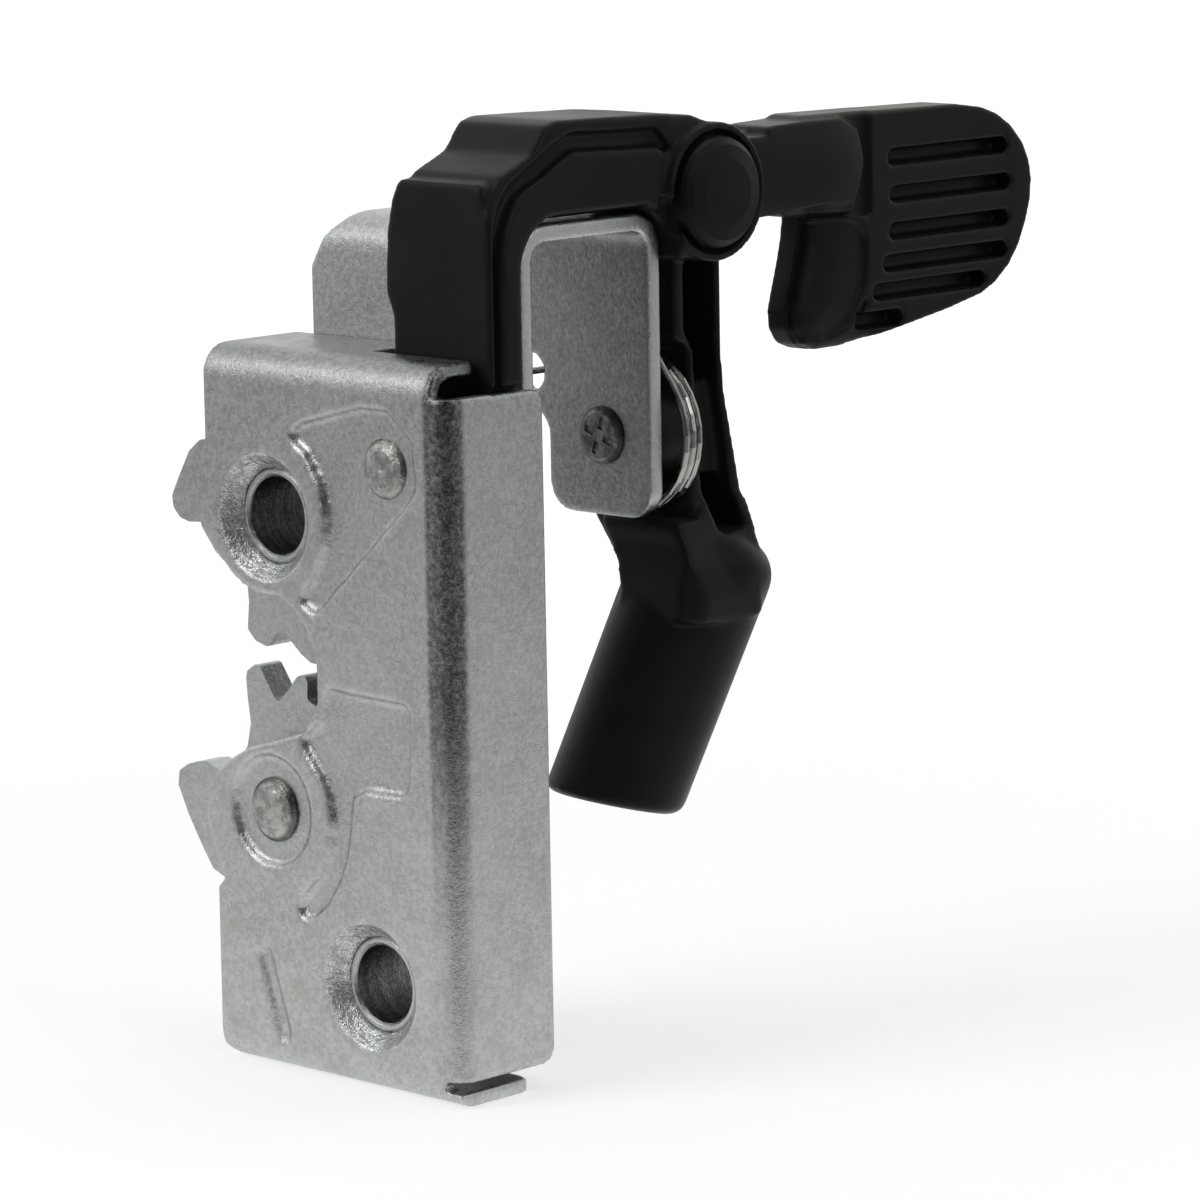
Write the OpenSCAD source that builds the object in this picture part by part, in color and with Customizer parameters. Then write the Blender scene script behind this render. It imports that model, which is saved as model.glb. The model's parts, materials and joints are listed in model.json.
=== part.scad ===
// Double rotor cab door latch with an inside release lever and a paddle
// Millimetres, Z up. The case frame has X across the case front, Y into the
// case and Z up from the case's lower edge. place() moves it so that the
// origin is the middle of the front end of the upper bush.

/* [Case] */
// Height of the case
case_h = 96; // [90:0.5:110]
// Width of the case over its side wall
case_w = 46.5; // [45:0.5:56]
// Depth of the case from its front face to the back plate
case_d = 17.2; // [16.8:0.1:22]
// Thickness of the case sheet
case_sheet = 1.9; // [1.5:0.1:2.2]
// Outer radius of the bend between front and side wall
side_bend = 2.8; // [2.3:0.1:3]
// Outer radius of the bend at the top
top_bend = 4.2; // [3:0.1:5]
// Height of the slot between side wall and each flange
flange_slot = 1.3; // [1:0.1:3]
// Gap between the top flange and the side wall's top edge
top_slot = 2.2; // [1.5:0.1:3.2]
// Corner radius at the side wall's rear end and the bottom flange
sheet_corner = 2; // [1:0.1:3]
// Depth of the bottom flange
bottom_flange = 13; // [8:0.5:16]
// Depth of the pressed-in fields of the front
field_depth = 1.0; // [0.5:0.1:1.2]
// Reach of the step field past its outline on the inside
field_wall = 1.1; // [0.8:0.1:1.5]

/* [Bushes] */
// Bore of both fixing bushes
bush_bore = 10.4; // [8.4:0.1:10.8]
// Outer diameter of both fixing bushes
bush_od = 12.6; // [12:0.1:13.2]
// Upper bush across
upper_x = 11.5; // [10:0.1:13]
// Upper bush height
upper_z = 73.8; // [72:0.1:76]
// Lower bush across
low_bush_x = 29.7; // [27:0.1:31]
// Lower bush height
low_bush_z = 13.6; // [12.5:0.1:16]
// Mouth diameter of the dimple round each bush
dimple_mouth = 17.3; // [16.6:0.1:18]
// Depth of that dimple
dimple_depth = 2.4; // [1.8:0.1:2.6]

/* [Back] */
// Thickness of the back plate and its saddle
back_sheet = 2.4; // [2:0.1:3]
// Height of the saddle over the case top
saddle_rise = 16.3; // [14:0.1:20]
// Depth of the saddle from the back plate's front face to its rear wall's rear face
saddle_depth = 26.1; // [24:0.1:30]
// Outer radius of the saddle bends
saddle_bend = 4.8; // [3.5:0.1:5.5]
// Left edge of the saddle
saddle_left = 3.3; // [2:0.1:5]
// Left edge of the rear wall's tab
tab_left = 24; // [22:0.5:26]
// Gap between back plate edge and side wall
plate_gap = 1.8; // [1:0.1:2.5]
// Spring hole diameter in the rear wall
spring_hole = 5.2; // [3.5:0.1:6]

/* [Rotors] */
// Thickness of the two rotors and the pawl
rotor_t = 4; // [3.2:0.1:4]
// Height of the lower rotor's pin
low_rotor_z = 34.8; // [34:0.1:35]
// Shoulder diameter of the lower rotor's pin
rotor_pin_d = 10; // [8:0.1:11]
// Head diameter of that pin
rotor_head_d = 8.6; // [7:0.1:10]
// Height of that pin's head
rotor_head_h = 1.3; // [0.8:0.1:1.6]
// Thickness of the washers in front of rotors and pawl
washer_t = 0.4; // [0.3:0.05:0.6]

/* [Pawl] */
// Pawl and lever axis across
pawl_x = 34; // [33.5:0.1:34.5]
// Pawl and lever axis height
pawl_z = 82.1; // [81.6:0.1:82.6]
// Shoulder diameter of the pawl pin
pawl_pin_d = 8; // [6:0.1:9]
// Head diameter of the pawl pin
pawl_head_d = 7.9; // [6:0.1:9]
// Diameter of the drive stud in the pawl
stud_d = 4; // [3:0.1:5]
// Distance of the stud below the pawl axis
stud_drop = 20.1; // [18:0.1:21]

/* [Lever] */
// Left edge of the lever's neck
neck_left = 27.7; // [27.5:0.1:29]
// Right face of the lever
lever_right = 45.8; // [45:0.1:46.4]
// Thickness of the neck
neck_t = 7.9; // [6:0.1:7.9]
// Diameter of the grip tube
grip_d = 18.4; // [16:0.1:20]
// Bore of the grip tube
grip_bore = 11; // [8:0.1:13]
// Rounding of the grip's lower edge
grip_edge = 2.4; // [1:0.1:2.8]
// Depth of that bore
grip_core = 30; // [10:1:32]
// Radius of the spring housing disc
housing_r = 16.5; // [14:0.5:17]
// Diameter of the lever pin's shank
lever_pin_d = 6; // [5:0.1:7]
// Head diameter of the lever pin
lever_head_d = 7.8; // [7:0.1:9]
// Outer diameter of the steel sleeve in the lever
sleeve_od = 8.4; // [8:0.1:9]
// Diameter of the hub ring on the lever
hub_d = 18.4; // [17:0.1:19]
// Depth of the groove around the side panel
panel_groove = 1.6; // [1:0.1:2.4]
// Depth of the rebate along the saddle's edge
rebate = 2; // [0.5:0.1:2.4]
// Diameter of the hub pin's cap
cap_d = 14.8; // [12:0.1:16]
// Shank diameter of the hub pin
hub_pin_d = 8; // [6:0.1:9]
// Middle of the hub in depth
hub_y = 50.3; // [50:0.1:51]
// Middle of the hub in height
hub_z = 114.4; // [114:0.1:115]

/* [Paddle] */
// Face of the paddle across
pad_face = 44; // [43:0.1:45]
// Thickness of the paddle
pad_t = 7; // [5:0.1:8]
// Depth of the paddle's grooves
groove_depth = 3; // [1:0.1:3.5]
// Height of each groove
groove_h = 2.3; // [1.5:0.1:2.6]

/* [Springs] */
// Wire diameter of the return spring
return_wire = 1; // [0.8:0.05:1.1]
// Mean radius of the return spring
return_r = 10.6; // [10:0.1:10.8]
// Wire diameter of the rotor springs
rotor_wire = 1.2; // [0.8:0.1:1.3]
// Radius gap between rotor spring and what it sits on
spring_gap = 0.5; // [0.2:0.1:0.8]

/* [Fits] */
// Radial running clearance on pins and bushes
run_fit = 0.06; // [0.03:0.01:0.1]
// Radial clearance of parts that are fixed together
fixed_fit = 0.02; // [0:0.01:0.05]
// Clearance between moving faces
face_gap = 0.5; // [0.4:0.1:0.8]
// Side play of stud and slot
slot_play = 0.25; // [0.1:0.05:0.4]
// Play of each rotor tail over the pawl's nose
nose_play = 0.32; // [0.3:0.02:0.6]

/* [Hidden] */
$fn = 72;
over = 0.05;
back_y = case_d;
back_end = back_y + back_sheet;
rear_wall_end = back_y + saddle_depth;
rear_wall_y = rear_wall_end - back_sheet;
saddle_top = case_h + saddle_rise;
saddle_right = case_w - case_sheet - plate_gap;
wall_in = case_w - case_sheet;
inner_face = case_sheet + field_depth;
dimple_in = dimple_depth + case_sheet;
rotor_y = dimple_in + washer_t;
rotor_end = rotor_y + rotor_t;
neck_y = rotor_end + 0.1;
neck_end = neck_y + neck_t;
leg_y = rear_wall_end + face_gap;
leg_end = 52.2;
coil_end = 49.8;
side_low = case_sheet + flange_slot;
side_high = case_h - case_sheet - top_slot;
flange_cut = case_w - 3.2;
bush_r = bush_od / 2;
face_slope = 0.14;
tail_x = 13;
tail_z = 14.1;
nose_bite = 1.1;
post_d = 3;
peg_d = 2.4;
up_post_x = upper_x + 10;
up_post_z = upper_z + 10.7;
low_post_x = upper_x + 10.5;
low_post_z = low_rotor_z + 9.7;
stud_x = pawl_x + 1;
stud_z = pawl_z - stud_drop;
leg_right = 41.5;
tongue_x = 36;
tongue_t = 5;
// What to show

// Colours
zinc = [0.72, 0.74, 0.74];
steel = [0.6, 0.61, 0.62];
wire_tint = [0.8, 0.8, 0.78];
black = [0.06, 0.06, 0.055];

// Point lists
function arc(cx, cy, r, a0, a1, n) =
  [for (i = [0:n]) let (a = a0 + (a1 - a0) * i / n)
    [cx + r * cos(a), cy + r * sin(a)]];
function unit(v) = v / max(norm(v), 1e-9);
function corner_pts(p, a, b, r, n) =
  let (
    u = unit(a - p), w = unit(b - p),
    half = acos(max(-1, min(1, u * w))) / 2,
    t = min(r / tan(max(half, 1)), 0.48 * min(norm(a - p), norm(b - p))),
    q = t * tan(max(half, 1)),
    m = p + unit(u + w) * (q / sin(max(half, 1))),
    s0 = p + u * t, s1 = p + w * t
  )
  half > 86 ? [p]
    : [for (i = [0:n]) m + q * unit((s0 - m) * (n - i) / n + (s1 - m) * i / n)];
// Closed outline with every corner rounded by r
function soft(pts, r, n = 4) =
  let (c = len(pts))
  [for (i = [0:c - 1])
    for (q = corner_pts(pts[i], pts[(i + c - 1) % c], pts[(i + 1) % c], r, n)) q];
// Open line with its inner corners rounded
function soft_open(pts, r, n = 4) =
  let (c = len(pts))
  concat([pts[0]], [for (i = [1:c - 2])
    for (q = corner_pts(pts[i], pts[i - 1], pts[i + 1], r, n)) q], [pts[c - 1]]);
// Signed area of an outline
function area(pts) =
  let (c = len(pts))
  [for (i = 0, s = 0; i <= c; i = i + 1,
    s = i <= c ? s + (pts[(i - 1) % c][0] * pts[i % c][1]
      - pts[i % c][0] * pts[(i - 1) % c][1]) / 2 : s)
    if (i == c) s][0];
// Outline moved outwards by d
function grow(pts, d) =
  let (c = len(pts), sgn = area(pts) > 0 ? 1 : -1)
  [for (i = [0:c - 1])
    let (
      a = pts[(i + c - 1) % c], p = pts[i], b = pts[(i + 1) % c],
      e = unit(p - a), f = unit(b - p),
      ne = [e[1], -e[0]], nf = [f[1], -f[0]],
      m = unit(ne + nf), k = max(0.6, m * ne)
    )
    p + m * (sgn * d / k)];
function stadium(a, b, r, n = 10) =
  let (t = atan2(b[1] - a[1], b[0] - a[0]))
  concat(arc(b[0], b[1], r, t - 90, t + 90, n), arc(a[0], a[1], r, t + 90, t + 270, n));

// Solids from outlines
// Outline in X and Z, from depth y0 to y1
module front(pts, y0, y1) {
  translate([0, y1, 0])
    rotate([90, 0, 0])
      linear_extrude(y1 - y0)
        polygon(pts);
}
// Outline in Y and Z, from x0 to x1
module side(pts, x0, x1) {
  translate([x0, 0, 0])
    rotate([90, 0, 90])
      linear_extrude(x1 - x0)
        polygon(pts);
}
module rod_y(x, z, y0, y1, r) {
  translate([x, y0, z])
    rotate([-90, 0, 0])
      cylinder(h = y1 - y0, r = r);
}
module cone_y(x, z, y0, y1, r0, r1) {
  translate([x, y0, z])
    rotate([-90, 0, 0])
      cylinder(h = y1 - y0, r1 = r0, r2 = r1);
}
module rod_x(y, z, x0, x1, r) {
  translate([x0, y, z])
    rotate([0, 90, 0])
      cylinder(h = x1 - x0, r = r);
}
// Wire of radius r through the points of a path
function ways(path) =
  let (c = len(path))
  [for (i = [0:c - 1]) unit(path[min(i + 1, c - 1)] - path[max(i - 1, 0)])];
module wire(path, r, n = 10) {
  t = ways(path);
  c = len(path);
  first = unit(cross(t[0], abs(t[0][1]) < 0.9 ? [0, 1, 0] : [1, 0, 0]));
  norms = [for (i = 0, v = first; i < c; i = i + 1,
    v = i < c ? unit(v - t[i] * (v * t[i])) : v) v];
  verts = [for (i = [0:c - 1]) let (v = norms[i], w = cross(t[i], v))
    for (k = [0:n - 1]) path[i] + r * (v * cos(360 * k / n) + w * sin(360 * k / n))];
  walls = [for (i = [0:c - 2]) for (k = [0:n - 1])
    let (j = (k + 1) % n) [i * n + k, i * n + j, (i + 1) * n + j, (i + 1) * n + k]];
  cap0 = [for (k = [0:n - 1]) n - 1 - k];
  cap1 = [for (k = [0:n - 1]) (c - 1) * n + k];
  polyhedron(points = verts, faces = concat([cap0], walls, [cap1]), convexity = 6);
}
// Coil about an axis along Y, from angle a0 over a given turn
function coil(x, z, r, y0, y1, a0, turn, step = 15) =
  let (n = ceil(abs(turn) / step))
  [for (i = [0:n]) let (a = a0 + turn * i / n)
    [x + r * cos(a), y0 + (y1 - y0) * i / n, z + r * sin(a)]];

// Outlines in the case frame
lobe_up = [[0.3, 83.2], [-1.6, 77.5], [-1.7, 74.2], [-0.9, 71.5], [1.8, 68.3],
  [5.2, 66], [8.3, 64.7], [11.4, 64.2], [14.4, 63.5], [16.7, 62.1], [18.9, 60],
  [20.4, 57.2], [20.8, 55.3]];
throat = [[20.8, 50.3], [20.2, 48.9], [17.8, 45.9], [15.6, 45.3], [11.9, 44.1]];
lobe_low = [[7.2, 42.7], [3.7, 40.8], [1.1, 38.9], [-0.8, 36.4], [-1.5, 34.3],
  [-1.2, 31.2], [0.2, 27.6], [2, 24.3], [0.5, 23.1]];
left_up = [[0.4, case_h + 4], [0.4, 83.9]];
left_edge = concat(left_up, lobe_up, throat, lobe_low);
front_outline = concat(left_edge, [[0.4, 3.6], [0.6, 2.2], [1.2, 1], [2.2, 0.3], [3.4, -3]],
  [[flange_cut, -3], [flange_cut, side_low], [case_w + 4, side_low],
  [case_w + 4, side_high], [flange_cut, side_high], [flange_cut, case_h + 4]]);
upper_raw = [[16.4, 85], [18.8, 86.9], [30, 89.8], [35.2, 89.8], [39.8, 86],
  [40.2, 79.9], [37.9, 77.2], [21, 61.9], [17.6, 63.3], [20.2, 66.4], [22.8, 71.3],
  [23.3, 75.3], [22.3, 79.2], [19.6, 83]];
lower_raw = [[22.8, 52.4], [37.2, 52], [38.2, 51.2], [37.8, 41], [36.8, 39.8],
  [29.5, 39.5], [27.2, 38.4], [26.7, 34.8], [26, 30.8], [24.4, 26.9], [21.9, 23.5],
  [19.2, 21.2], [17.2, 20.8], [16.3, 22.4], [17.5, 24.6], [20.5, 27.3], [22.4, 30.5],
  [23.1, 34.4], [22.5, 38], [20.7, 41], [17.9, 43.9], [17.7, 45.4], [20.9, 47.8],
  [21.8, 50.4]];
upper_rotor_pts = soft([[-15.6, 8.6], [-17.2, 8.4], [-19.4, 6.7], [-21.6, 3.1],
  [-23.1, 0.4], [-22.9, -1.2], [-21.6, -2.5], [-19.8, -2.9], [-15.4, -2.6],
  [-11.2, -5.4], [-8.6, -9.4], [-8.3, -12.6], [-8.7, -16.3], [-7.2, -17.7],
  [-4.9, -18.3], [-4.1, -17.6], [-2.9, -16], [-1.4, -16.1], [1.6, -18.5],
  [3.4, -19.5], [5.1, -19.6], [6.8, -18], [8.2, -tail_z - 0.6],
  [9, -tail_z - 4 * face_slope], [tail_x, -tail_z], [14, -9.4], [12.9, -3.5],
  [12.3, 1], [10.6, 5.4], [6.6, 9.8], [0, 12], [-6.5, 10.6], [-11, 8.2]], 0.7, 3);
lower_rotor_pts = soft([[-14.8, 2.6], [-17.6, 3.7], [-19.5, 3.4], [-21.5, 2.8],
  [-23.3, 1.7], [-23.6, -0.3], [-21.7, -4.1], [-18.9, -8.4], [-17, -11],
  [-14.4, -12], [-9.8, -9.6], [-5, -11.2], [1, -11.9], [6.6, -9.9], [10.6, -5.6],
  [12.3, 0], [13.1, 4.6], [14, 9.4], [tail_x, tail_z], [9, tail_z + 4 * face_slope],
  [7.6, 14.3], [4.2, 13.8], [2.6, 14.4], [2.7, 16.8], [2, 17.8], [0.7, 17.3],
  [-1.4, 15], [-3.1, 13.4], [-3.8, 14], [-6.7, 18], [-7.4, 18.1], [-9.1, 17],
  [-9.3, 16], [-9.1, 13.4], [-8.6, 10], [-9.4, 6.8], [-11.4, 3.9]], 0.7, 3);
nose_x = upper_x + tail_x - nose_bite;
nose_top = upper_z - tail_z - nose_play;
nose_low = low_rotor_z + tail_z + nose_play;
pawl_pts = soft([[nose_x, nose_top - nose_bite * face_slope],
  [nose_x + 3.6, nose_top + 2.5 * face_slope], [nose_x + 4.4, nose_top + 3.4],
  [29.2, 70], [27.4, 78], [27.2, 84.6], [30, 88.4], [34.6, 89.6], [39.2, 88],
  [41.4, 83.6], [41.4, 74], [39.6, 62.6], [37.4, 50.2], [36, nose_low - 0.6],
  [nose_x + 3.6, nose_low - 2.5 * face_slope],
  [nose_x, nose_low + nose_bite * face_slope]], 0.5, 3);

// A dimple for a bush, pressed into the front
module dimple_body(x, z) {
  cone_y(x, z, 0.3, dimple_in, dimple_mouth / 2 + case_sheet * 0.9, bush_r + 2.2);
}
module dimple_cut(x, z) {
  cone_y(x, z, -over, dimple_depth, dimple_mouth / 2 + 0.05, bush_r + 0.15);
  rod_y(x, z, -over, dimple_in + over, bush_r + fixed_fit);
}
// Plan of front and side wall, swept upwards
module wall_shell() {
  inner = max(side_bend - case_sheet, 0.3);
  plan = concat([[-8, 0]], arc(case_w - side_bend, side_bend, side_bend, -90, 0, 8),
    [[case_w, back_y], [wall_in, back_y]],
    [for (p = arc(wall_in - inner, case_sheet + inner, inner, 0, -90, 6)) p],
    [[-8, case_sheet]]);
  translate([0, 0, -2])
    linear_extrude(case_h + 4)
      polygon(plan);
}
module flange(top) {
  rb = top ? top_bend : 2.6;
  ri = max(rb - case_sheet, 0.3);
  deep = top ? back_y : bottom_flange;
  // Profile in Y and height measured inwards from the outer face
  pts = concat([[0, rb + 2]], arc(rb, rb, rb, 180, 270, 8), [[deep, 0], [deep, case_sheet]],
    arc(case_sheet + ri, case_sheet + ri, ri, 270, 180, 6), [[case_sheet, rb + 2]]);
  place_pts = [for (p = pts) [p[0], top ? case_h - p[1] : p[1]]];
  side(place_pts, 0.4, top ? flange_cut : case_w);
}
module front_case() {
  color(zinc)
    difference() {
      union() {
        difference() {
          union() {
            intersection() {
              wall_shell();
              front(front_outline, -1, back_y + 1);
            }
          }
          // The plate ends where the two flanges bend away
          translate([-10, -1, case_h - top_bend])
            cube([flange_cut + 10.01, back_y + 2, top_bend + 5]);
          translate([-10, -1, -5])
            cube([flange_cut + 10.01, back_y + 2, 5 + 2.6]);
        }
        flange(true);
        intersection() {
          flange(false);
          front([[0.4, 10], [0.4, 3.6], [0.6, 2.2], [1.2, 1], [2.2, 0.3], [3.4, -1],
            [case_w, -1], [case_w, side_low - flange_slot], [flange_cut + 0.01, case_sheet],
            [flange_cut + 0.01, 10]], -1, back_y);
        }
        front(soft(grow(upper_raw, field_wall), 0.7, 3), case_sheet - 0.4, inner_face);
        front(soft(grow(lower_raw, field_wall), 0.5, 2), case_sheet - 0.4, inner_face);
        rod_y(upper_x, low_rotor_z, case_sheet - 0.4, inner_face, 8.5);
        dimple_body(upper_x, upper_z);
        dimple_body(low_bush_x, low_bush_z);
        front(stadium([9.7, 14.9], [13, 4.6], 2), case_sheet - 0.4, case_sheet + 0.6);
      }
      // Notch in the top flange for the neck
      translate([24.3, 8.2, case_h - top_bend])
        cube([30, back_y, top_bend + 2]);
      front(soft(upper_raw, 0.9, 3), -over, field_depth);
      front(soft(lower_raw, 0.8, 3), -over, field_depth);
      rod_y(upper_x, low_rotor_z, -over, field_depth, 7.5);
      front(stadium([9.7, 14.9], [13, 4.6], 1.25), -over, 0.6);
      dimple_cut(upper_x, upper_z);
      dimple_cut(low_bush_x, low_bush_z);
      rod_y(upper_x, low_rotor_z, -over, 4, rotor_pin_d / 2 - 1.6 + fixed_fit);
      rod_y(pawl_x, pawl_z, -over, 4, pawl_pin_d / 2 - 1.2 + fixed_fit);
      // Rear top corner of the side wall is rounded off
      translate([wall_in - 1, 0, 0])
        side(concat([[back_y + 1, side_high + 1], [back_y - 2, side_high + 1]],
          arc(back_y - 2, side_high - 2, 2, 90, 0, 6), [[back_y + 1, side_high - 2]]), 0, 4);
      // So are its rear bottom corner and the bottom flange's
      translate([wall_in - 1, 0, 0])
        side(concat([[back_y + 1, side_low - 0.6], [back_y - sheet_corner, side_low - 0.6]],
          arc(back_y - sheet_corner, side_low + sheet_corner, sheet_corner, 270, 360, 6),
          [[back_y + 1, side_low + sheet_corner]]), 0, 4);
      translate([0, 0, -1])
        linear_extrude(case_sheet + 1.3)
          polygon(concat([[case_w + 1, bottom_flange + 1],
            [case_w - sheet_corner, bottom_flange + 1]],
            arc(case_w - sheet_corner, bottom_flange - sheet_corner, sheet_corner, 90, 0, 6),
            [[case_w + 1, bottom_flange - sheet_corner]]));
    }
}
plate_outline = concat([[saddle_left, case_h + 40]], [[saddle_left, case_h - 3],
  [0.6, case_h - 3], [0.6, 83.9]], lobe_up, throat, lobe_low, [[0.6, 4],
  [2.4, case_sheet + 0.1], [saddle_right - 2, case_sheet + 0.1],
  [saddle_right, case_sheet + 2.1], [saddle_right, case_h + 40]]);
module back_plate() {
  ri = saddle_bend - back_sheet;
  prof = concat([[back_y, 0]], [[back_end, 0]],
    arc(back_end + ri, saddle_top - back_sheet - ri, ri, 180, 90, 6),
    arc(rear_wall_y - ri, saddle_top - back_sheet - ri, ri, 90, 0, 6),
    [[rear_wall_y, 0], [rear_wall_end, 0]],
    arc(rear_wall_end - saddle_bend, saddle_top - saddle_bend, saddle_bend, 0, 90, 8),
    arc(back_y + saddle_bend, saddle_top - saddle_bend, saddle_bend, 90, 180, 8));
  top_cut = [[saddle_left, case_h + 9], [saddle_left + 2.4, saddle_top - 3.4],
    [saddle_left + 6, saddle_top], [saddle_left + 6, saddle_top + 5],
    [saddle_right, saddle_top + 5], [saddle_right, 0], [-5, 0], [-5, case_h - 3],
    [saddle_left, case_h - 3]];
  tab = soft([[saddle_left, saddle_top + 5], [saddle_right, saddle_top + 5],
    [saddle_right, 71.3], [tab_left, 71.3], [tab_left, 85], [saddle_left, 85]], 4, 6);
  color(zinc)
    difference() {
      intersection() {
        side(prof, -5, saddle_right);
        front(soft(top_cut, 1.2, 4), back_y - 1, rear_wall_end + 1);
        union() {
          front(plate_outline, back_y - 1, back_y + saddle_bend);
          front([[saddle_left, case_h], [saddle_left, saddle_top + 5],
            [saddle_right, saddle_top + 5], [saddle_right, case_h]],
            back_y + saddle_bend - 0.01, rear_wall_y - saddle_bend + back_sheet + 0.01);
          front(tab, rear_wall_y - saddle_bend + back_sheet, rear_wall_end + 1);
        }
      }
      rod_y(20.5, 89.6, rear_wall_y - 1, rear_wall_end + 1, spring_hole / 2);
      rod_y(pawl_x, pawl_z, rear_wall_y - 1, rear_wall_end + 1,
        lever_pin_d / 2 + fixed_fit);
      rod_y(pawl_x, pawl_z, back_y - 1, back_end + 1, pawl_pin_d / 2 - 1.2 + fixed_fit);
      rod_y(upper_x, low_rotor_z, back_y - 1, back_end + 1,
        rotor_pin_d / 2 - 1.6 + fixed_fit);
      rod_y(upper_x, upper_z, back_y - 1, back_end + 1, bush_r + fixed_fit);
      rod_y(low_bush_x, low_bush_z, back_y - 1, back_end + 1, bush_r + fixed_fit);
      rod_y(up_post_x, up_post_z, back_y - 1, back_end + 1, post_d / 2 + fixed_fit);
      rod_y(low_post_x, low_post_z, back_y - 1, back_end + 1, post_d / 2 + fixed_fit);
    }
}
module bush(x, z) {
  color(zinc)
    translate([x, dimple_depth, z])
      rotate([-90, 0, 0])
        rotate_extrude()
          polygon([[bush_bore / 2 + 0.4, 0], [bush_r - 0.3, 0], [bush_r, 0.3],
            [bush_r, back_end - dimple_depth - 0.3], [bush_r - 0.3, back_end - dimple_depth],
            [bush_bore / 2 + 0.4, back_end - dimple_depth],
            [bush_bore / 2, back_end - dimple_depth - 0.4], [bush_bore / 2, 0.4]]);
}
module upper_bush() {
  bush(upper_x, upper_z);
}
module lower_bush() {
  bush(low_bush_x, low_bush_z);
}
// Rivet pin: domed head in front, shoulder inside, tail riveted behind
module rivet_pin(x, z, d, step, head_d, head_h, seat) {
  s = d / 2 - step;
  color(steel)
    translate([x, 0, z])
      rotate([-90, 0, 0])
        rotate_extrude()
          polygon([[0, seat - head_h], [head_d * 0.3, seat - head_h + 0.12],
            [head_d * 0.43, seat - head_h + 0.45], [head_d / 2, seat - head_h + 0.95],
            [head_d / 2, seat], [s, seat], [s, inner_face], [d / 2, inner_face],
            [d / 2, back_y], [s, back_y], [s, back_end], [s + 1, back_end],
            [s + 0.8, back_end + 0.7], [s - 0.4, back_end + 1.1], [0, back_end + 1.2]]);
}
module rotor_pin() {
  rivet_pin(upper_x, low_rotor_z, rotor_pin_d, 1.6, rotor_head_d, rotor_head_h, field_depth);
}
module pawl_pin() {
  rivet_pin(pawl_x, pawl_z, pawl_pin_d, 1.2, pawl_head_d, 0.95, field_depth);
}
module rotor(pts, x, z, r, peg) {
  color(zinc)
    translate([x, 0, z])
      difference() {
        union() {
          front(pts, rotor_y, rotor_end);
          // Peg that takes the spring's moving end
          rod_y(peg[0], peg[1], rotor_end - 0.01, rotor_end + 2.4, 1.2);
        }
        rod_y(0, 0, rotor_y - 1, rotor_end + 1, r);
      }
}
module upper_rotor() {
  rotor(upper_rotor_pts, upper_x, upper_z, bush_r + run_fit, [-9.6, -2.5]);
}
module lower_rotor() {
  rotor(lower_rotor_pts, upper_x, low_rotor_z, rotor_pin_d / 2 + run_fit, [-9.4, -1.5]);
}
module washer(x, z, r0, r1, y0, y1) {
  color(steel)
    difference() {
      rod_y(x, z, y0, y1, r1);
      rod_y(x, z, y0 - 1, y1 + 1, r0);
    }
}
module upper_rotor_washer() {
  washer(upper_x, upper_z, bush_r + fixed_fit, bush_r + 2, dimple_in, rotor_y);
}
module lower_rotor_washer() {
  washer(upper_x, low_rotor_z, rotor_pin_d / 2 + fixed_fit, rotor_pin_d / 2 + 2.6,
    inner_face, rotor_y);
}
module pawl_washer() {
  washer(pawl_x, pawl_z, pawl_pin_d / 2 + fixed_fit, pawl_pin_d / 2 + 2.4,
    inner_face, rotor_y);
}
module post(x, z) {
  color(steel)
    translate([x, 0, z])
      rotate([-90, 0, 0])
        rotate_extrude()
          polygon([[0, rotor_end + 2.6], [post_d / 2 - 0.3, rotor_end + 2.6],
            [post_d / 2, rotor_end + 2.9], [post_d / 2, back_y - 0.8],
            [post_d / 2 + 0.9, back_y - 0.8], [post_d / 2 + 0.9, back_y],
            [post_d / 2, back_y], [post_d / 2, back_end], [0, back_end]]);
}
module upper_spring_post() {
  post(up_post_x, up_post_z);
}
module lower_spring_post() {
  post(low_post_x, low_post_z);
}
up_coil_r = bush_r + spring_gap + rotor_wire / 2;
low_coil_r = rotor_pin_d / 2 + spring_gap + rotor_wire / 2;
coil_y = rotor_end + rotor_wire / 2 + 0.3;
// Angle at which a straight leg leaves a coil so that it passes beside a peg.
// d is the peg's distance, a its angle, off the distance of leg and peg.
function leave(d, a, r, off, sgn) = a + sgn * acos((r + off) / d);
module upper_rotor_spring() {
  peg = peg_d / 2 + rotor_wire / 2 + 0.25;
  a0 = leave(9.92, 194.6, up_coil_r, -peg, 1);
  end_off = post_d / 2 + rotor_wire / 2 + 0.15;
  a1 = leave(14.65, 46.9, up_coil_r, -end_off, -1) + 720 + 360;
  r = up_coil_r;
  pitch = rotor_wire * 1.12 / 360;
  y1 = coil_y + (a1 - a0) * pitch;
  tail = [for (k = [10, 5]) [upper_x + r * cos(a0) + k * sin(a0), coil_y,
    upper_z + r * sin(a0) - k * cos(a0)]];
  head = [for (k = [6, 15.6]) [upper_x + r * cos(a1) - k * sin(a1), y1,
    upper_z + r * sin(a1) + k * cos(a1)]];
  color(wire_tint)
    wire(concat(tail, coil(upper_x, upper_z, r, coil_y, y1, a0, a1 - a0), head),
      rotor_wire / 2);
}
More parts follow.
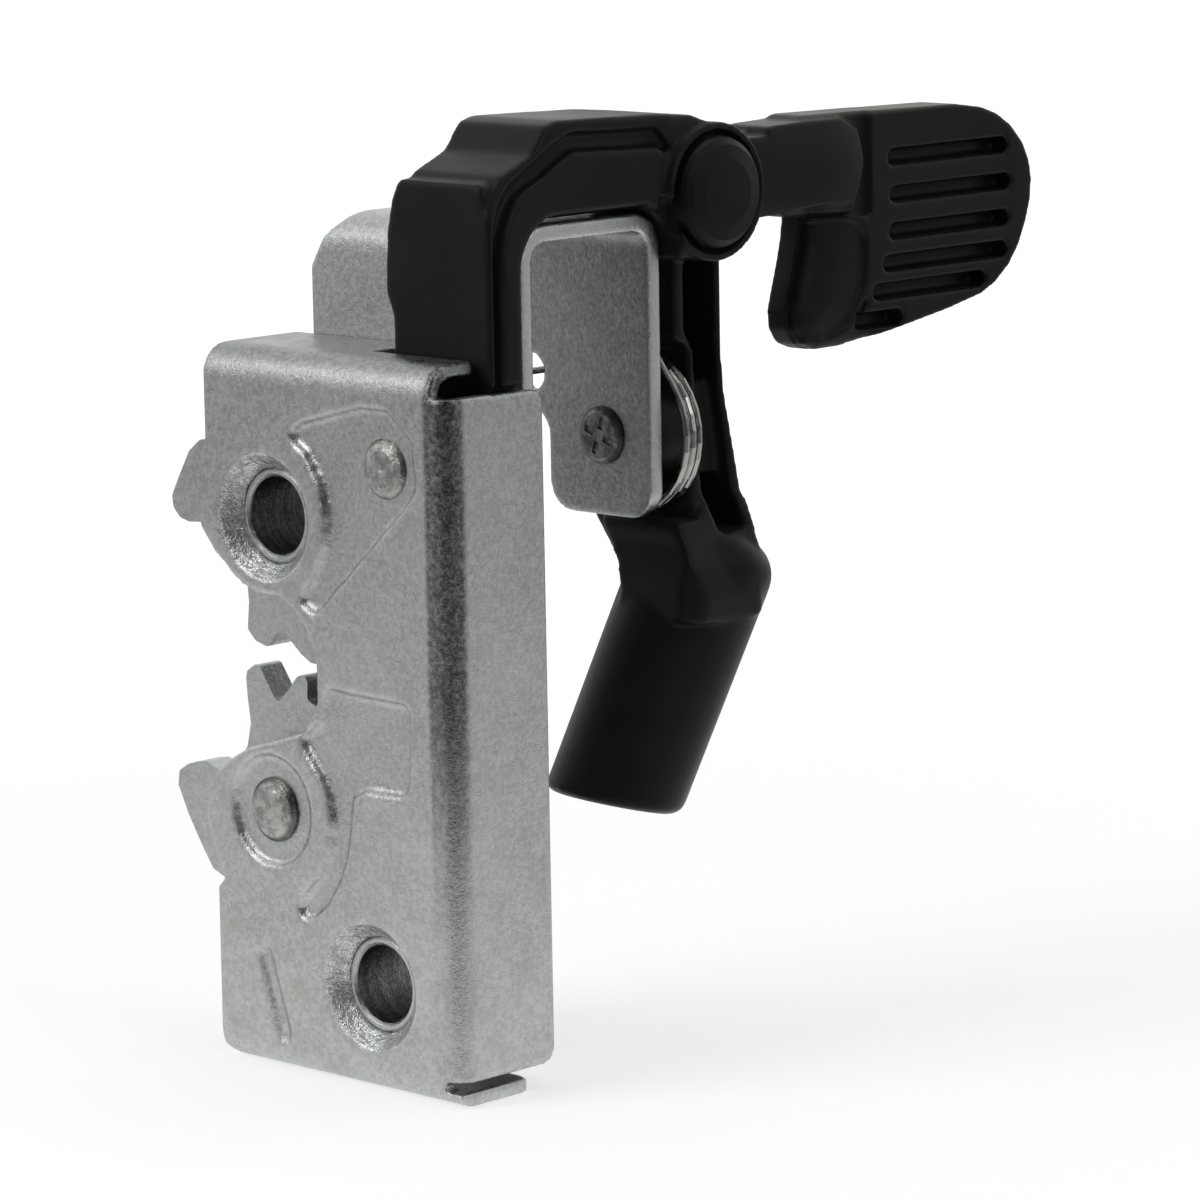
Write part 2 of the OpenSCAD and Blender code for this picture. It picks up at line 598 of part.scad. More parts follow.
module lower_rotor_spring() {
  peg = peg_d / 2 + rotor_wire / 2 + 0.25;
  a0 = leave(9.52, 170.9, low_coil_r, -peg, -1);
  end_off = post_d / 2 + rotor_wire / 2 + 0.15;
  a1 = leave(14.3, 42.7, low_coil_r, -end_off, 1) - 720;
  r = low_coil_r;
  pitch = rotor_wire * 1.12 / 360;
  y1 = coil_y + (a0 - a1) * pitch;
  tail = [for (k = [10, 5]) [upper_x + r * cos(a0) - k * sin(a0), coil_y,
    low_rotor_z + r * sin(a0) + k * cos(a0)]];
  head = [for (k = [6, 15.6]) [upper_x + r * cos(a1) + k * sin(a1), y1,
    low_rotor_z + r * sin(a1) - k * cos(a1)]];
  color(wire_tint)
    wire(concat(tail, coil(upper_x, low_rotor_z, r, coil_y, y1, a0, a1 - a0), head),
      rotor_wire / 2);
}
module pawl() {
  color(zinc)
    difference() {
      front(pawl_pts, rotor_y, rotor_end);
      rod_y(pawl_x, pawl_z, rotor_y - 1, rotor_end + 1, pawl_pin_d / 2 + run_fit);
      rod_y(stud_x, stud_z, rotor_y - 1, rotor_end + 1, stud_d / 2 + fixed_fit);
    }
}
module pawl_stud() {
  color(steel)
    translate([stud_x, 0, stud_z])
      rotate([-90, 0, 0])
        rotate_extrude()
          polygon([[0, rotor_y], [stud_d / 2, rotor_y], [stud_d / 2, neck_end - 1.4],
            [stud_d / 2 - 0.5, neck_end - 0.9], [0, neck_end - 0.9]]);
}

// Lever
bar_pts = soft_open([[neck_y, case_h - 3.7], [neck_y, 114.3], [11.3, 119.2], [17, 121.6],
  [19.6, 125.1], [22, 125.7], [40, 125.3], [47, 124.7], [51.5, 123], [56, 119],
  [57, 114], [55, 108.4], [51.5, 106.4], [leg_y, 105.8]], 1.3, 3);
// Underside of the bar, concentric with the saddle's bends
under_pts = concat(arc(rear_wall_end - saddle_bend, saddle_top - saddle_bend,
  saddle_bend + face_gap, 0, 90, 8), arc(back_y + saddle_bend, saddle_top - saddle_bend,
  saddle_bend + face_gap, 90, 180, 8), [[neck_end, case_h - 3.7]]);
// Neck seen from the front, with its right edge at a given place
function neck_pts(edge) = soft([[neck_left, pawl_z + 8], [neck_left, 100.5],
  [neck_left - 1.3, 103.6], [neck_left - 1, 111], [neck_left, 115.5],
  [neck_left + 1.4, 118.4], [edge, 118.4], [edge, case_h - 3.7],
  [pawl_x + 10, pawl_z + 9.8], [pawl_x + 9.3, pawl_z - 4],
  [pawl_x + 7.2, pawl_z - 14], [pawl_x + 5.1, pawl_z - 24.2],
  [pawl_x - 2.6, pawl_z - 24.2], [pawl_x - 3.4, pawl_z - 14], [pawl_x - 6.3, pawl_z - 5],
  [pawl_x - 6.9, pawl_z + 3]], 1.2, 3);
// Underside beside the saddle, set back by the rebate that shows the saddle's edge
rebate_pts = concat([[rear_wall_end - 3.4, saddle_top + face_gap],
  [rear_wall_end - 4.6, saddle_top + face_gap + 0.8]],
  arc(back_y + saddle_bend, saddle_top - saddle_bend - rebate + 0.8,
    saddle_bend + face_gap + rebate, 90, 180, 8), [[neck_end - rebate, case_h - 3.7]]);
// Groove beside the ridge runs between these two lines
ridge_in = soft_open([[9.7, 90], [9.7, 108.5], [9.9, 112.6], [10.9, 115.9], [12.9, 118.1],
  [16.9, 120.4], [21, 122.6], [24.2, 123.9], [40.4, 123.4], [42.6, 121.2]],
  0.8, 3);
panel_edge = soft_open([[42.2, 119.9], [40.2, 121], [24.6, 121.5], [21.8, 120.2],
  [19, 118.6], [15.8, 117.3], [13.8, 116], [12.6, 114.2], [11.6, 111.9], [11, 108.8],
  [10.8, 105], [10.8, 90]], 0.6, 3);
leg_pts = soft([[47.2, 108], [47.2, 94.6], [coil_end + 0.1, 93.7], [coil_end + 0.1, 66],
  [52, 63.5], [58, 62.4], [59.8, 66.5], [60.2, 70], [59.6, 74.6], [58.3, 80.6], [57, 86.5],
  [56.5, 91.5], [56.5, 108]], 1.2, 3);
web_front = concat(arc(pawl_x, pawl_z, housing_r, 64, 227, 22), [[28.1, 62.6], [40.6, 62.6],
  [40.6, 92]]);
pocket_pts = soft([[49.3, 105.3], [55.3, 105.3], [55.3, 95], [55.8, 87.2], [57.1, 80],
  [58.6, 68.4], [53.2, 68.2], [52.2, 75], [51.2, 80], [51.1, 92.6], [49.3, 95.6]], 0.7, 3);
// Block that joins leg and grip, seen from the front, the side and above
block_front = soft([[27.9, 71.6], [29.8, 67.8], [32.3, 64.2], [32.9, 61.5], [32.9, 56],
  [46.4, 56], [46.8, 60.5], [45.8, 64.5], [43.6, 69], [41.5, 74], [41.5, 76], [27.9, 76]],
  1.5, 4);
block_side = soft([[45.1, 70.5], [45.5, 67.3], [44.7, 63], [44.5, 57], [59.4, 57], [59.8, 66.5],
  [60.2, 70], [59.9, 73], [52, 73], [50.4, 70.5]], 1.2, 3);
block_plan = soft([[27.4, 44.2], [47.2, 44.2], [47.2, 60.6], [27.4, 60.6]], 5, 6);
module block() {
  intersection() {
    front(block_front, 44, 61);
    side(block_side, 27, 48);
    translate([0, 0, 56])
      linear_extrude(20)
        polygon(block_plan);
  }
}
module grip_place() {
  translate([35.8 + 0.126 * 16.4, 50.3 + 0.464 * 16.4, 50 + 16.4])
    rotate([0, atan(norm([0.126, 0.464])), atan2(0.464, 0.126)])
      children();
}
grip_len = 38.2;
hook_a = 200;
hook_x = pawl_x + return_r * cos(hook_a) - 0.3;
hook_z = pawl_z + return_r * sin(hook_a) + 0.85;
module grip_solid() {
  r = grip_d / 2;
  // Slim taper with a rounded shoulder
  translate([0, 0, -grip_len - 3])
    rotate_extrude()
      polygon(concat([[0, 0], [r, 0]], arc(r + 0.35 - 5.2, grip_len - 0.6, 5.2, 0, 90, 7),
        [[0, grip_len + 4.6]]));
}
// All that lies below the grip's slanted end
module grip_end() {
  grip_place()
    translate([0, 0, -grip_len])
      rotate([0, -atan(norm([0.126, 0.464])), 0])
        rotate([0, 0, -atan2(0.464, 0.126)])
          rotate([0, atan(norm([0.06, 0.25])), atan2(0.25, 0.06)]) {
            translate([-20, -20, -20])
              cube([40, 40, 20]);
            // Ring that rounds the end's edge
            rotate_extrude()
              polygon(concat([[grip_d / 2 + 4, -0.5], [grip_d / 2 + 4, grip_edge + 0.8]],
                arc(grip_d / 2 + 0.6 - grip_edge, grip_edge, grip_edge, 0, -90, 6),
                [[grip_d / 2 + 0.6 - grip_edge, -0.5]]));
          }
}
module lever() {
  color(black)
    difference() {
      union() {
        side(concat(bar_pts, under_pts), 29.4, saddle_right - 0.4);
        side(concat(bar_pts, rebate_pts), saddle_right - 0.4, lever_right);
        front(neck_pts(wall_in), neck_y, neck_end - rebate);
        front(neck_pts(saddle_right - 0.6), neck_y, neck_end);
        side(leg_pts, 28.8, leg_right);
        front(web_front, coil_end + 0.1, 52.7);
        block();
        rod_y(pawl_x, pawl_z, leg_y, coil_end + 1, 7.2);
        rod_x(hub_y, hub_z, 29.6, lever_right + 1.2, hub_d / 2);
        grip_place()
          grip_solid();
      }
      // Hub and bar leave room for the saddle
      side(concat(under_pts, [[neck_end, 100], [leg_y, 100]]), 20, 60);
      // Underside slopes so that the lever clears the saddle as it swings
      front([[20, 116.4], [neck_left, 114.7], [35.8, saddle_top + 0.45],
        [35.8, saddle_top - 8], [20, saddle_top - 8]], neck_end, leg_y);
      // Front foot runs on the pawl pin
      rod_y(pawl_x, pawl_z, neck_y - 1, neck_end + 1, pawl_pin_d / 2 + run_fit);
      front(stadium([stud_x, stud_z - 0.7], [stud_x, stud_z + 0.7],
        stud_d / 2 + slot_play), neck_y - 1, neck_end + 1);
      // Rear hub holds the steel sleeve
      rod_y(pawl_x, pawl_z, leg_y - 1, 62, sleeve_od / 2 + fixed_fit);
      // Groove between the ridge and the side panel
      side(concat(ridge_in, panel_edge), lever_right - panel_groove, lever_right + 1);
      // Slit over the saddle's rear wall
      side(concat([[43.2, 100], [43.2, 113.1]], arc(41.8, 113.1, 1.4, 0, 180, 6),
        [[40.4, 100]]), 43.6, lever_right + 1);
      // Pocket in the leg's side, shallow beside the lever's bore
      side(pocket_pts, leg_right - 2.3, leg_right + 5);
      intersection() {
        side(pocket_pts, leg_right - 8, leg_right);
        union() {
          translate([30, 45, pawl_z + 6.4])
            cube([12, 16, 30]);
          translate([30, 45, pawl_z - 36.4])
            cube([12, 16, 30]);
        }
      }
      // Hole for the spring's moving end
      rod_y(hook_x, hook_z, 46, 54, return_wire / 2 + 0.35);
      // Ring groove and seat of the hub pin's cap
      rod_x(hub_y, hub_z, lever_right - 0.4, lever_right + 2, cap_d / 2 + 0.75);
      rod_x(hub_y, hub_z, 31.6, lever_right, hub_pin_d / 2 + fixed_fit);
      // Slot for the paddle's tongue
      translate([tongue_x - fixed_fit, hub_y - 7.4, hub_z - 7.4])
        cube([tongue_t + 2 * fixed_fit, 30, 14.8]);
      // Core of the grip
      grip_place()
        translate([0, 0, -grip_len - 4])
          cylinder(h = grip_core + 4, r = grip_bore / 2);
      grip_end();
    }
}
module lever_sleeve() {
  color(steel)
    difference() {
      rod_y(pawl_x, pawl_z, rear_wall_end + 0.1, leg_end, sleeve_od / 2);
      rod_y(pawl_x, pawl_z, rear_wall_end, leg_end + 1, lever_pin_d / 2 + run_fit);
    }
}
module lever_pin() {
  r = lever_pin_d / 2;
  h = lever_head_d / 2;
  color(steel)
    difference() {
      translate([pawl_x, 0, pawl_z])
        rotate([-90, 0, 0])
          rotate_extrude()
            polygon([[0, rear_wall_y - 0.9], [h - 0.8, rear_wall_y - 0.9],
              [h, rear_wall_y - 0.3], [h, rear_wall_y], [r, rear_wall_y],
              [r, leg_end + 1], [r + 0.9, leg_end + 1], [r + 0.7, leg_end + 1.6],
              [r - 0.6, leg_end + 2], [0, leg_end + 2.1]]);
      // Four dents of the staking tool
      for (a = [20 : 90 : 290])
        translate([pawl_x, rear_wall_y - 0.9, pawl_z])
          rotate([0, a, 0])
            translate([0.9, -0.5, -0.4])
              cube([1.7, 0.8, 0.8]);
    }
}
module lever_washer() {
  washer(pawl_x, pawl_z, lever_pin_d / 2 + fixed_fit, sleeve_od / 2 - 0.3, leg_end + 0.1,
    leg_end + 1);
}
module return_spring() {
  r = return_r;
  y0 = 45.9;
  a0 = 37;
  a1 = hook_a - 1080;
  y1 = y0 + (a0 - a1) / 360 * return_wire * 1.15;
  lead = [pawl_x + r * cos(a0), pawl_z + r * sin(a0)];
  way = [-sin(a0), cos(a0)];
  // Fixed end hooks into the rear wall's hole and runs over to the coil's first turn
  hook = concat([[20.5, rear_wall_y - 0.3, 89.6], [20.5, rear_wall_end + 0.9, 89.6],
    [20.8, y0 - 0.6, 89.9], [22.4, y0 - 0.1, 91.2]],
    [for (p = soft_open([[23.4, 91.9], lead + way * 12.6, lead + way * 0.6], 2.4, 5))
      [p[0], y0, p[1]]]);
  coil_path = coil(pawl_x, pawl_z, r, y0, y1, a0, a1 - a0, 12);
  // Moving end turns back into the lever's web
  end_leg = [[hook_x + 0.1, y1 + 0.2, hook_z - 0.5], [hook_x, y1 + 0.8, hook_z],
    [hook_x, y1 + 1.6, hook_z], [hook_x, 52.4, hook_z]];
  color(wire_tint)
    wire(concat(hook, coil_path, end_leg), return_wire / 2);
}
module hub_pin() {
  color(black)
    translate([0, hub_y, hub_z])
      rotate([0, 90, 0])
        rotate_extrude()
          polygon([[0, 31.6], [hub_pin_d / 2, 31.6], [hub_pin_d / 2, lever_right - 0.4],
            [cap_d / 2, lever_right - 0.4], [cap_d / 2, lever_right + 1.2],
            [cap_d / 2 - 0.3, lever_right + 1.9], [cap_d / 2 - 1.1, lever_right + 2.5],
            [cap_d / 2 - 3, lever_right + 2.9], [0, lever_right + 3.1]]);
}

// Paddle, with its points drawn from the hub's centre at (50.3, 114.4)
function from_hub(pts) = [for (p = pts) p + [hub_y - 50.3, hub_z - 114.4]];
pad_pts = soft(from_hub([[70.2, 122.9], [84, 122.7], [102, 122.4], [107.6, 121.6], [110.9, 120.5],
  [113.9, 118.7], [116.3, 116.3], [117.8, 113.5], [118.3, 110.8], [118, 108], [117.1, 105.2],
  [115.4, 101.7], [113.3, 99.1], [110.2, 96.8], [107.2, 95.5], [100.3, 94.1], [87.6, 92.1],
  [78.6, 90.8], [74.2, 90.7], [71.6, 91.7], [70.2, 93.8], [70, 96.2], [70.9, 99.3],
  [71.9, 102.5], [72.7, 105.6], [73.2, 109], [70.2, 113]]), 1.5, 3);
arm_pts = concat(arc(hub_y, hub_z, hub_d / 2 + 0.1, 44, -30, 12),
  soft(from_hub([[66, 109.5], [80.4, 109.2], [81.8, 113], [82.6, 116], [81.4, 120.6],
  [78, 122.1], [70.6, 122.2], [62.4, 121.9]]), 0.9, 3));
module groove(y0, y1, z) {
  side(from_hub(stadium([y0 + groove_h / 2, z], [y1 - groove_h / 2, z], groove_h / 2, 6)),
    pad_face - groove_depth, pad_face + 2);
}
module paddle() {
  color(black)
    difference() {
      union() {
        side(pad_pts, pad_face - pad_t, pad_face);
        side(arm_pts, pad_face - pad_t - 1, pad_face + 1);
        // Tongue with its eye, pinned in the lever's slot
        side(concat(arc(hub_y, hub_z, 7, 100, 260, 16), from_hub([[66, 110.2], [66, 121.3]])),
          tongue_x, tongue_x + tongue_t);
      }
      rod_x(hub_y, hub_z, tongue_x - 1, tongue_x + tongue_t + 1,
        hub_pin_d / 2 + fixed_fit);
      groove(87.6, 113.1, 116);
      groove(88, 113.8, 110.9);
      groove(87.8, 113.4, 105.8);
      groove(86.5, 113, 101.4);
      groove(84.4, 108.2, 97.7);
      groove(81, 90.6, 93.9);
      // Small slot at the lower end of the finger panel
      side(from_hub(stadium([83, 96.6], [81.6, 94.9], 0.5, 6)), pad_face - 1, pad_face + 2);
      // Shallow finger panel in front of the grooves
      side(soft(from_hub([[68, 108.6], [79.1, 108.6], [81.6, 107.6], [83, 105.6],
        [83.2, 102.3], [82.6, 98.6], [81, 95.6], [79.4, 93.4], [76, 92.2], [68, 92.2]]), 1.4, 3),
        pad_face - 0.7, pad_face + 2);
    }
}

module place() {
  translate([-upper_x, -dimple_depth, -upper_z])
    children();
}
place()
    front_case();
place()
    back_plate();
place()
    upper_bush();
place()
    lower_bush();
place()
    rotor_pin();
place()
    upper_rotor();
place()
    lower_rotor();
place()
    upper_rotor_washer();
place()
    lower_rotor_washer();
place()
    upper_rotor_spring();
place()
    lower_rotor_spring();
place()
    upper_spring_post();
place()
    lower_spring_post();
place()
    pawl_pin();
place()
    pawl_washer();
place()
    pawl();
place()
    pawl_stud();
place()
    lever();
place()
    lever_sleeve();
place()
    lever_pin();
place()
    lever_washer();
place()
    return_spring();
place()
    paddle();
place()
    hub_pin();
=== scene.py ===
# %% [markdown]
# # A cab door latch, dressed for its portrait
# The part comes from CAD as a frame of solids: a pressed, zinc plated case
# with two rotors, and a black moulded lever with a paddle. This file keeps
# every solid where it is and gives it its looks: plated metal, spring wire
# and grained plastic, soft edges, light and a camera. Each step is a cell.

# %% Load the frame
import json
import math

import bpy
from mathutils import Euler, Matrix, Vector


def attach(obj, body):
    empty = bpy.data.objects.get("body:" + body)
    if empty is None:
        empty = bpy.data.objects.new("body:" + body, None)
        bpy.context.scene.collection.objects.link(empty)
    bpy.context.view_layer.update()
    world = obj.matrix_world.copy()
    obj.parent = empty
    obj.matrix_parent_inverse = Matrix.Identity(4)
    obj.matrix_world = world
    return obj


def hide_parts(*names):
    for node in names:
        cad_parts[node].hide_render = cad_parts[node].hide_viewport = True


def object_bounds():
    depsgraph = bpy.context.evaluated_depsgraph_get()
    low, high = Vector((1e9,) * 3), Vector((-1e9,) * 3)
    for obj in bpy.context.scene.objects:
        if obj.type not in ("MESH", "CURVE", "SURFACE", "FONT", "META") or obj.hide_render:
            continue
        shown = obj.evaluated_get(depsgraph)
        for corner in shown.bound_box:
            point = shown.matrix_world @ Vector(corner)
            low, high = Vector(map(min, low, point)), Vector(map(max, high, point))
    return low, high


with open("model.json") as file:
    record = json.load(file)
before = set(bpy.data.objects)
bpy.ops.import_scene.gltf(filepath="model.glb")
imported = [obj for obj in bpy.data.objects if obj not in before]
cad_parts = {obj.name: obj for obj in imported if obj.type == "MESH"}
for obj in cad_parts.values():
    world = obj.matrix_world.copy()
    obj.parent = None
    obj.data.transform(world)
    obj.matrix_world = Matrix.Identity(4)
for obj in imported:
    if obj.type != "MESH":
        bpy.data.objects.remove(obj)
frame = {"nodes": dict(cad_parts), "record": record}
NODES = frame["nodes"]
RECORD = frame["record"]
cad_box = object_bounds()
bpy.ops.object.select_all(action="DESELECT")
print("nodes", len(NODES), "box", cad_box)

# %% [markdown]
# The drawings of this latch are in millimetres from the case's lower left
# front corner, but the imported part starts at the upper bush. One small
# function moves a drawing point into the part's own metres, so that every
# place below can be read off the drawing.

# %% Drawing points
ORIGIN = Vector((11.5, 2.4, 73.8))


def spot(x, y, z):
    return (Vector((x, y, z)) - ORIGIN) / 1000


print("the case's upper right corner sits at", tuple(spot(46.5, 0, 96)))

# %% [markdown]
# CAD edges are knife sharp, while pressed sheet and moulded plastic have
# soft ones that catch a line of light. A bevel would have to find every edge
# of every rib. A live voxel remesh gives the solid an even skin of small
# quads instead, and a few rounds of smoothing let its edges melt by about the
# radius that the tool or the mould has. The solid's own mesh stays as it is.

# %% Soft edges
def add_skin(piece, voxel):
    skin = piece.modifiers.new("skin", "REMESH")
    skin.mode = "VOXEL"
    skin.voxel_size = voxel / 1000
    skin.use_smooth_shade = True
    return skin


def add_melt(piece, rounds):
    melt = piece.modifiers.new("melt", "SMOOTH")
    melt.factor = 0.5
    melt.iterations = rounds
    return melt


for name, rounds in (("front_case", 3), ("back_plate", 3), ("lever", 9)):
    add_skin(NODES[name], 0.42)
    add_melt(NODES[name], rounds)
    melted = NODES[name].evaluated_get(bpy.context.evaluated_depsgraph_get())
    print(name, "has", 2 * len(melted.to_mesh().polygons), "triangles")
    melted.to_mesh_clear()

# %% [markdown]
# The paddle is more than a plate with soft edges. Its finger lobe is a
# pillow that falls away to its edge, so the distance to that edge steers the
# shape. The edge is a line of drawing points in depth and height, and a
# smooth step blends one region into the next.

# %% Distance to the lobe's edge
LOBE_EDGE = [(73.4, 110.0), (72.7, 105.6), (71.9, 102.5), (70.9, 99.3), (70.0, 96.2), (70.2, 93.8),
             (71.6, 91.7), (74.2, 90.7), (78.6, 90.7), (84, 91.6)]


def clamped(value):
    return min(max(value, 0.0), 1.0)


def smooth_step(value, low, high):
    share = clamped((value - low) / (high - low))
    return share * share * (3 - 2 * share)


def to_lobe_edge(y, z):
    nearest_yet = math.inf
    for (start_y, start_z), (end_y, end_z) in zip(LOBE_EDGE, LOBE_EDGE[1:]):
        run, rise = end_y - start_y, end_z - start_z
        share = clamped(((y - start_y) * run + (z - start_z) * rise) / (run ** 2 + rise ** 2))
        gap = math.hypot(y - start_y - share * run, z - start_z - share * rise)
        nearest_yet = min(nearest_yet, gap)
    return nearest_yet


print("the lobe's middle lies", round(to_lobe_edge(78, 100), 1), "mm from its edge")

# %% [markdown]
# The pillow could be sculpted by hand, but a rule gives the same result each
# time. Near the edge the surface drops along a quarter circle, and the drop
# fades out towards the ribs. The paddle's neck is crowned by a steep power.
# Both act on the side that faces the driver only.

# %% Depth of the press
LOBE_RIM, LOBE_DROP = 8.5, 2.3
NECK_HIGH, NECK_HALF, NECK_DROP = 115.7, 6.6, 0.95


def lobe_press(y, z):
    outward = clamped(1 - to_lobe_edge(y, z) / LOBE_RIM)
    before_ribs = 1 - smooth_step(y, 76, 88)
    return LOBE_DROP * (1 - math.sqrt(1 - outward ** 2)) * (0.35 + 0.65 * before_ribs)


def neck_press(y, z):
    crown = (abs(z - NECK_HIGH) / NECK_HALF) ** 2.6 + (max(0.0, y - 71) / 11.8) ** 3
    return NECK_DROP * min(crown, 1.0)


def press_depth(x, y, z):
    depth = 0.0
    if y < 92 and z < 110.5:
        depth += lobe_press(y, z)
    if y < 84 and z > 108.5:
        depth += neck_press(y, z)
    return depth * smooth_step(x, 39, 44)


print("the press at the lobe's rim is", round(press_depth(44, 71, 96), 2), "mm deep")

# %% [markdown]
# The two halves of the mould never meet perfectly. On the lobe's end the near
# half stands back from the far half by a third of a millimetre, which draws
# the parting line that the light picks out.

# %% Parting line
PARTING_X, PARTING_STEP = 42.0, 0.35


def parting_shift(x, y, z):
    if y >= 80 or z >= 108:
        return 0.0
    near_half = smooth_step(x, PARTING_X - 0.12, PARTING_X + 0.12)
    return PARTING_STEP * near_half * (1 - smooth_step(to_lobe_edge(y, z), 0.6, 2.4))


print("the near half stands back by", round(parting_shift(43, 70, 96), 2), "mm")

# %% [markdown]
# A CAD solid is loose triangles, so a copy of it is merged first. The copy
# then gets the same skin and melt as above, but applied, because its points
# are moved one by one afterwards.

# %% A copy that can be shaped
def merged_copy(node, name):
    piece = NODES[node].copy()
    piece.data = piece.data.copy()
    piece.name = piece.data.name = name
    bpy.context.collection.objects.link(piece)
    bpy.ops.object.select_all(action="DESELECT")
    bpy.context.view_layer.objects.active = piece
    piece.select_set(True)
    bpy.ops.object.mode_set(mode="EDIT")
    bpy.ops.mesh.select_all(action="SELECT")
    bpy.ops.mesh.remove_doubles(threshold=1e-6)
    bpy.ops.object.mode_set(mode="OBJECT")
    return piece


def apply(modifier):
    bpy.ops.object.modifier_apply(modifier=modifier.name)


paddle = merged_copy("paddle", "paddle_skin")
apply(add_skin(paddle, 0.33))
apply(add_melt(paddle, 4))
print("paddle_skin has", len(paddle.data.vertices), "points")

# %% [markdown]
# Now each point of the copy is pressed in by its own depth, and one last
# round of smoothing takes the marks away. The copy stands in for the solid
# and rides on the lever.

# %% Paddle, pressed into shape
for point in paddle.data.vertices:
    x, y, z = point.co * 1000 + ORIGIN
    point.co.x -= press_depth(x, y, z) / 1000
    point.co.y += parting_shift(x, y, z) / 1000
apply(add_melt(paddle, 1))
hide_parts("paddle")
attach(paddle, "lever")
print("paddle_skin has", 2 * len(paddle.data.polygons), "triangles")

# %% [markdown]
# Shader maths reads best as arithmetic. A small class wraps a node socket and
# teaches it plus and times, so that a mask such as 0.5 * worn + dusty is
# written just like that, and the Math nodes are added behind the scenes.

# %% Sockets that do arithmetic
class Value:
    def __init__(self, nodes, socket):
        self.nodes = nodes
        self.socket = socket

    def work_out(self, operation, other, clamp=False):
        settings = {"operation": operation, "use_clamp": clamp}
        return self.nodes.add("ShaderNodeMath", settings, {0: self, 1: other})

    def __add__(self, other):
        return self.work_out("ADD", other)

    def __mul__(self, other):
        return self.work_out("MULTIPLY", other)

    __radd__ = __add__
    __rmul__ = __mul__

    def clip(self):
        return self.work_out("ADD", 0.0, clamp=True)

    def least(self, other):
        return self.work_out("MINIMUM", other)


print("a socket now knows plus and times, clip and least")

# %% [markdown]
# Every node comes from one method: its type, its settings, and the values or
# links of its sockets. A colour is given as three numbers and gets its alpha
# here. Patterns start at one set of coordinates, which for a piece are its
# Object coordinates, so that they stay on it when it swings.

# %% One way to add a node
class Nodes:
    def __init__(self, owner, coordinates):
        owner.use_nodes = True
        self.tree = owner.node_tree
        self.where = self.add("ShaderNodeTexCoord", {}, {}, coordinates)

    def add(self, kind, settings, sockets, out=0):
        node = self.tree.nodes.new(kind)
        for name, value in settings.items():
            setattr(node, name, value)
        for name, value in sockets.items():
            self.feed(node.inputs[name], value)
        return Value(self, node.outputs[out])

    def feed(self, socket, value):
        if isinstance(value, Value):
            self.tree.links.new(value.socket, socket)
        elif socket.type == "RGBA":
            socket.default_value = (*value, 1.0)
        else:
            socket.default_value = value


print("nodes come from", Nodes.add.__name__, "and sockets are filled by", Nodes.feed.__name__)

# %% [markdown]
# A finish is built from a handful of ideas: noise at several scales, bands
# that pick a range out of it, colours mixed by a mask, and a bump. This
# class gives each idea a plain name.

# %% Patterns
class Patterns(Nodes):
    def stretch(self, scale, turn=(0, 0, 0)):
        sockets = {"Vector": self.where, "Scale": scale, "Rotation": turn}
        return self.add("ShaderNodeMapping", {}, sockets)

    def noise(self, scale, detail, rough, at=None):
        sockets = {"Vector": at or self.where, "Scale": scale, "Detail": detail, "Roughness": rough}
        return self.add("ShaderNodeTexNoise", {}, sockets, "Fac")

    def band(self, value, low, high, out_low=0.0, out_high=1.0):
        sockets = {"Value": value, "From Min": low, "From Max": high, "To Min": out_low, "To Max": out_high}
        return self.add("ShaderNodeMapRange", {"interpolation_type": "SMOOTHSTEP"}, sockets, "Result")

    def mix(self, mask, one, other):
        return self.add("ShaderNodeMix", {"data_type": "RGBA"}, {0: mask, 6: one, 7: other}, 2)

    def bump(self, height, depth, strength):
        return self.add("ShaderNodeBump", {}, {"Height": height, "Distance": depth, "Strength": strength})


def times(tone, factor):
    return tuple(min(factor * part, 1.0) for part in tone)


print("half of a mid grey is", times((0.5, 0.5, 0.5), 0.5))

# %% [markdown]
# One material is one finish. Its Principled shader has many sockets, and the
# ones that a finish of this latch uses get short names.

# %% A finish
SOCKETS = {"color": "Base Color", "rough": "Roughness", "metal": "Metallic", "normal": "Normal",
           "ior": "IOR", "specular": "Specular IOR Level", "sheen": "Sheen Weight",
           "sheen_rough": "Sheen Roughness"}


class Finish(Patterns):
    def __init__(self, name):
        self.material = bpy.data.materials.new(name)
        super().__init__(self.material, "Object")
        self.shader = self.tree.nodes["Principled BSDF"]

    def set(self, **values):
        for name, value in values.items():
            self.feed(self.shader.inputs[SOCKETS[name]], value)


print("a finish can set", ", ".join(SOCKETS))

# %% [markdown]
# Marks of the tooling sit at known places. Two rulers find them: the place
# along a direction, in the drawing's millimetres, and the distance from an
# axis that runs along depth, as a bore's does. The axes come from the
# record's mounts and joints.

# %% Rulers
ACROSS, DEEP, TALL = Vector((1, 0, 0)), Vector((0, 1, 0)), Vector((0, 0, 1))
UP_BUSH, LOW_BUSH = [Vector(mount["pos_m"]) for mount in RECORD["mounts"]]
TURNS = {joint["name"]: Vector(joint["pos_m"]) for joint in RECORD["behaviour"]["joints"]}


def vector_math(nodes, operation, sockets, out):
    return nodes.add("ShaderNodeVectorMath", {"operation": operation}, sockets, out)


def along(nodes, direction):
    return vector_math(nodes, "DOT_PRODUCT", {0: nodes.where, 1: direction}, "Value")


def step_along(finish, direction, low, high, *ends):
    shift = ORIGIN.dot(direction)
    return finish.band(along(finish, direction), (low - shift) / 1000, (high - shift) / 1000, *ends)


def from_axis(finish, axis):
    sockets = {0: finish.where, 1: ACROSS + TALL, 2: (-axis.x, 0, -axis.z)}
    flat = vector_math(finish, "MULTIPLY_ADD", sockets, "Vector")
    return vector_math(finish, "LENGTH", {0: flat}, "Value")


